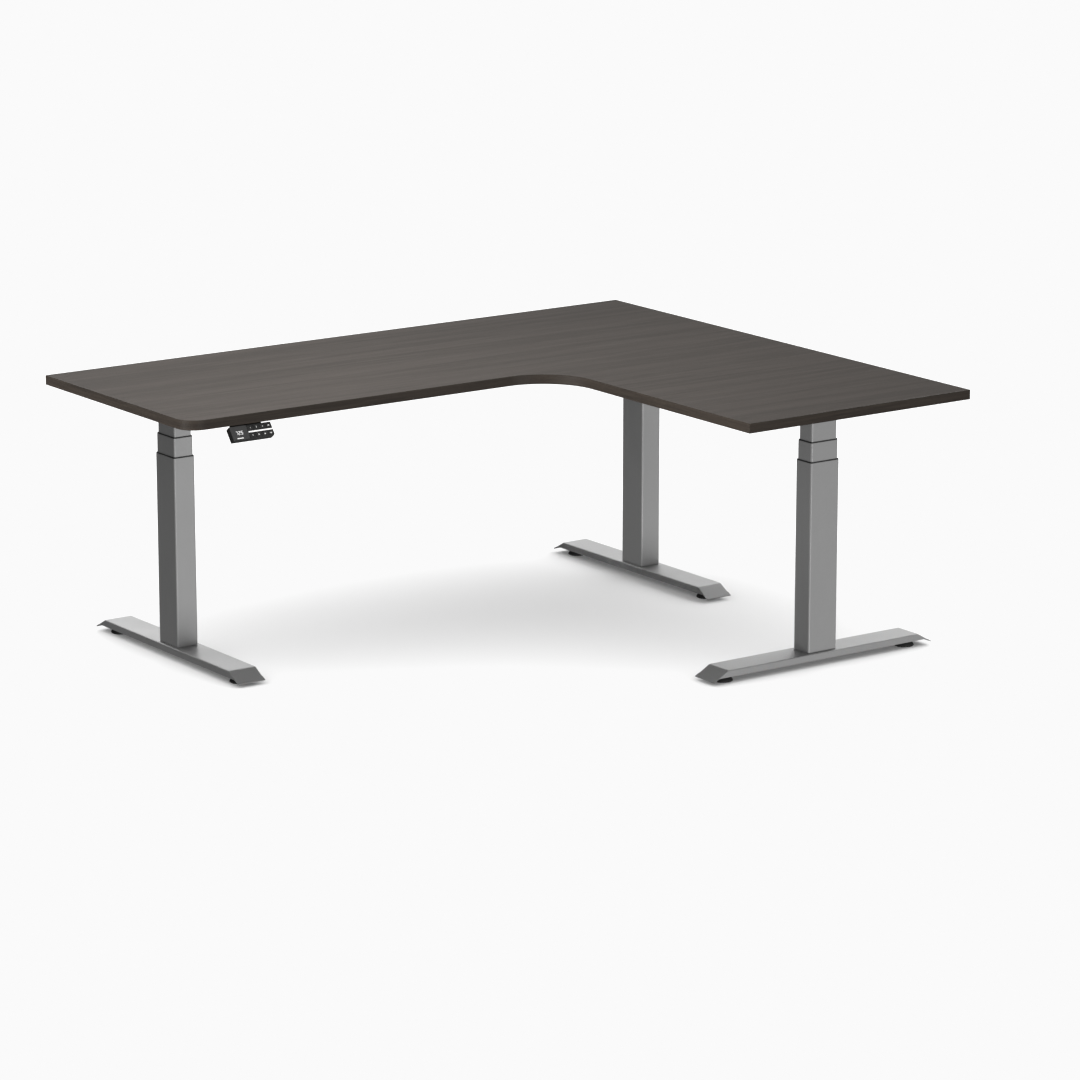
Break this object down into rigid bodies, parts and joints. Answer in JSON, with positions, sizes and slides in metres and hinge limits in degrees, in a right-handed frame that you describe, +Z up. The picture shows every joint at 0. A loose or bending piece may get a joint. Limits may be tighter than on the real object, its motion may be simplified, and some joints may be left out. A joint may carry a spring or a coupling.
{
  "type": "height adjustable standing desk",
  "caption": "L-shaped electric standing desk: a dark wood-look corner top on telescopic lifting columns with sloped-end channel feet, a tilted keypad and levelling glides.",
  "frame": {"origin": "on the floor, under the middle of the desktop's box", "axes": "+Z up, +X along the main wing's long rear edge towards the return, +Y from the user towards the rear edge; the return comes forward (-Y) on the +X side"},
  "size_m": [1.8, 1.5, 0.691],
  "materials": {
    "dark_laminate": "dark oak-grain melamine, matt",
    "silver_powder_coat": "satin silver-grey powder coat",
    "black_nylon": "moulded nylon",
    "machined_steel": "turned and greased",
    "black_enamel": "baked black enamel",
    "black_rubber": "moulded, matt",
    "black_abs": "fine moulded texture",
    "grey_window": "smoked display window",
    "white_acrylic": "moulded white acrylic",
    "black_key": "satin moulded key caps"
  },
  "bodies": {
    "base": {"foot_left": "silver_powder_coat", "outer_tube_left": "silver_powder_coat", "lower_glide_left": "black_nylon", "nut_post_left": "machined_steel", "foot_corner": "silver_powder_coat", "outer_tube_corner": "silver_powder_coat", "lower_glide_corner": "black_nylon", "nut_post_corner": "machined_steel", "foot_return": "silver_powder_coat", "outer_tube_return": "silver_powder_coat", "lower_glide_return": "black_nylon", "nut_post_return": "machined_steel"},
    "middle_stage": {"middle_tube_left": "silver_powder_coat", "upper_glide_left": "black_nylon", "middle_tube_corner": "silver_powder_coat", "upper_glide_corner": "black_nylon", "middle_tube_return": "silver_powder_coat", "upper_glide_return": "black_nylon"},
    "lifting_frame": {"desktop": "dark_laminate", "inner_tube_left": "silver_powder_coat", "gearbox_left": "black_enamel", "motor_left": "black_enamel", "bracket_left": "silver_powder_coat", "inner_tube_corner": "silver_powder_coat", "gearbox_corner": "black_enamel", "motor_corner": "black_enamel", "bracket_corner": "silver_powder_coat", "inner_tube_return": "silver_powder_coat", "gearbox_return": "black_enamel", "motor_return": "black_enamel", "bracket_return": "silver_powder_coat", "rail_main_front": "silver_powder_coat", "rail_main_rear": "silver_powder_coat", "rail_return_left": "silver_powder_coat", "rail_return_right": "silver_powder_coat", "control_box": "black_abs", "keypad_housing": "black_abs", "keypad_window": "grey_window", "keypad_strip": "white_acrylic", "keypad_hanger": "black_enamel"},
    "drive_rod_left": {"drive_rod_left": "machined_steel"},
    "lead_screw_left": {"lead_screw_left": "machined_steel"},
    "drive_rod_corner": {"drive_rod_corner": "machined_steel"},
    "lead_screw_corner": {"lead_screw_corner": "machined_steel"},
    "drive_rod_return": {"drive_rod_return": "machined_steel"},
    "lead_screw_return": {"lead_screw_return": "machined_steel"},
    "key_preset_1": {"key_preset_1": "black_key"},
    "key_preset_2": {"key_preset_2": "black_key"},
    "key_preset_3": {"key_preset_3": "black_key"},
    "key_up": {"key_up": "black_key"},
    "key_preset_4": {"key_preset_4": "black_key"},
    "key_save": {"key_save": "black_key"},
    "key_lock": {"key_lock": "black_key"},
    "key_down": {"key_down": "black_key"},
    "levelling_foot_left_a": {"levelling_foot_left_a": "black_rubber"},
    "levelling_foot_left_b": {"levelling_foot_left_b": "black_rubber"},
    "levelling_foot_corner_a": {"levelling_foot_corner_a": "black_rubber"},
    "levelling_foot_corner_b": {"levelling_foot_corner_b": "black_rubber"},
    "levelling_foot_return_a": {"levelling_foot_return_a": "black_rubber"},
    "levelling_foot_return_b": {"levelling_foot_return_b": "black_rubber"}
  },
  "joints": [
    {"name": "lift", "type": "slide", "parent": "base", "child": "lifting_frame", "axis": [0, 0, 1], "range_m": [-0.066, 0.584]},
    {"name": "middle_stage_lift", "type": "slide", "parent": "base", "child": "middle_stage", "axis": [0, 0, 1], "range_m": [-0.033, 0.292]},
    {"name": "drive_rod_left_turn", "type": "hinge", "parent": "lifting_frame", "child": "drive_rod_left", "pos_m": [-0.73, 0.4, 0.62], "axis": [0, 0, 1], "range_deg": [-1490, 13145]},
    {"name": "lead_screw_left_turn", "type": "hinge", "parent": "middle_stage", "child": "lead_screw_left", "pos_m": [-0.73, 0.4, 0.48], "axis": [0, 0, 1], "range_deg": [-1490, 13145]},
    {"name": "drive_rod_corner_turn", "type": "hinge", "parent": "lifting_frame", "child": "drive_rod_corner", "pos_m": [0.73, 0.4, 0.62], "axis": [0, 0, 1], "range_deg": [-1490, 13145]},
    {"name": "lead_screw_corner_turn", "type": "hinge", "parent": "middle_stage", "child": "lead_screw_corner", "pos_m": [0.73, 0.4, 0.48], "axis": [0, 0, 1], "range_deg": [-1490, 13145]},
    {"name": "drive_rod_return_turn", "type": "hinge", "parent": "lifting_frame", "child": "drive_rod_return", "pos_m": [0.55, -0.58, 0.62], "axis": [0, 0, 1], "range_deg": [-1490, 13145]},
    {"name": "lead_screw_return_turn", "type": "hinge", "parent": "middle_stage", "child": "lead_screw_return", "pos_m": [0.55, -0.58, 0.48], "axis": [0, 0, 1], "range_deg": [-1490, 13145]},
    {"name": "key_preset_1_press", "type": "slide", "parent": "lifting_frame", "child": "key_preset_1", "axis": [0, 0.7923, -0.6101], "range_m": [0, 0.0008], "stiffness_N_per_m": 300},
    {"name": "key_preset_2_press", "type": "slide", "parent": "lifting_frame", "child": "key_preset_2", "axis": [0, 0.7923, -0.6101], "range_m": [0, 0.0008], "stiffness_N_per_m": 300},
    {"name": "key_preset_3_press", "type": "slide", "parent": "lifting_frame", "child": "key_preset_3", "axis": [0, 0.7923, -0.6101], "range_m": [0, 0.0008], "stiffness_N_per_m": 300},
    {"name": "key_up_press", "type": "slide", "parent": "lifting_frame", "child": "key_up", "axis": [0, 0.7923, -0.6101], "range_m": [0, 0.0008], "stiffness_N_per_m": 300},
    {"name": "key_preset_4_press", "type": "slide", "parent": "lifting_frame", "child": "key_preset_4", "axis": [0, 0.7923, -0.6101], "range_m": [0, 0.0008], "stiffness_N_per_m": 300},
    {"name": "key_save_press", "type": "slide", "parent": "lifting_frame", "child": "key_save", "axis": [0, 0.7923, -0.6101], "range_m": [0, 0.0008], "stiffness_N_per_m": 300},
    {"name": "key_lock_press", "type": "slide", "parent": "lifting_frame", "child": "key_lock", "axis": [0, 0.7923, -0.6101], "range_m": [0, 0.0008], "stiffness_N_per_m": 300},
    {"name": "key_down_press", "type": "slide", "parent": "lifting_frame", "child": "key_down", "axis": [0, 0.7923, -0.6101], "range_m": [0, 0.0008], "stiffness_N_per_m": 300},
    {"name": "levelling_foot_left_a_height", "type": "slide", "parent": "base", "child": "levelling_foot_left_a", "axis": [0, 0, 1], "range_m": [-0.01, 0.002]},
    {"name": "levelling_foot_left_b_height", "type": "slide", "parent": "base", "child": "levelling_foot_left_b", "axis": [0, 0, 1], "range_m": [-0.01, 0.002]},
    {"name": "levelling_foot_corner_a_height", "type": "slide", "parent": "base", "child": "levelling_foot_corner_a", "axis": [0, 0, 1], "range_m": [-0.01, 0.002]},
    {"name": "levelling_foot_corner_b_height", "type": "slide", "parent": "base", "child": "levelling_foot_corner_b", "axis": [0, 0, 1], "range_m": [-0.01, 0.002]},
    {"name": "levelling_foot_return_a_height", "type": "slide", "parent": "base", "child": "levelling_foot_return_a", "axis": [0, 0, 1], "range_m": [-0.01, 0.002]},
    {"name": "levelling_foot_return_b_height", "type": "slide", "parent": "base", "child": "levelling_foot_return_b", "axis": [0, 0, 1], "range_m": [-0.01, 0.002]}
  ],
  "couplings": [
    {"joint": "middle_stage_lift", "follows": "lift", "ratio": 0.5},
    {"joint": "drive_rod_left_turn", "follows": "lift", "rad_per_m": 392.7},
    {"joint": "lead_screw_left_turn", "follows": "lift", "rad_per_m": 392.7},
    {"joint": "drive_rod_corner_turn", "follows": "lift", "rad_per_m": 392.7},
    {"joint": "lead_screw_corner_turn", "follows": "lift", "rad_per_m": 392.7},
    {"joint": "drive_rod_return_turn", "follows": "lift", "rad_per_m": 392.7},
    {"joint": "lead_screw_return_turn", "follows": "lift", "rad_per_m": 392.7}
  ]
}
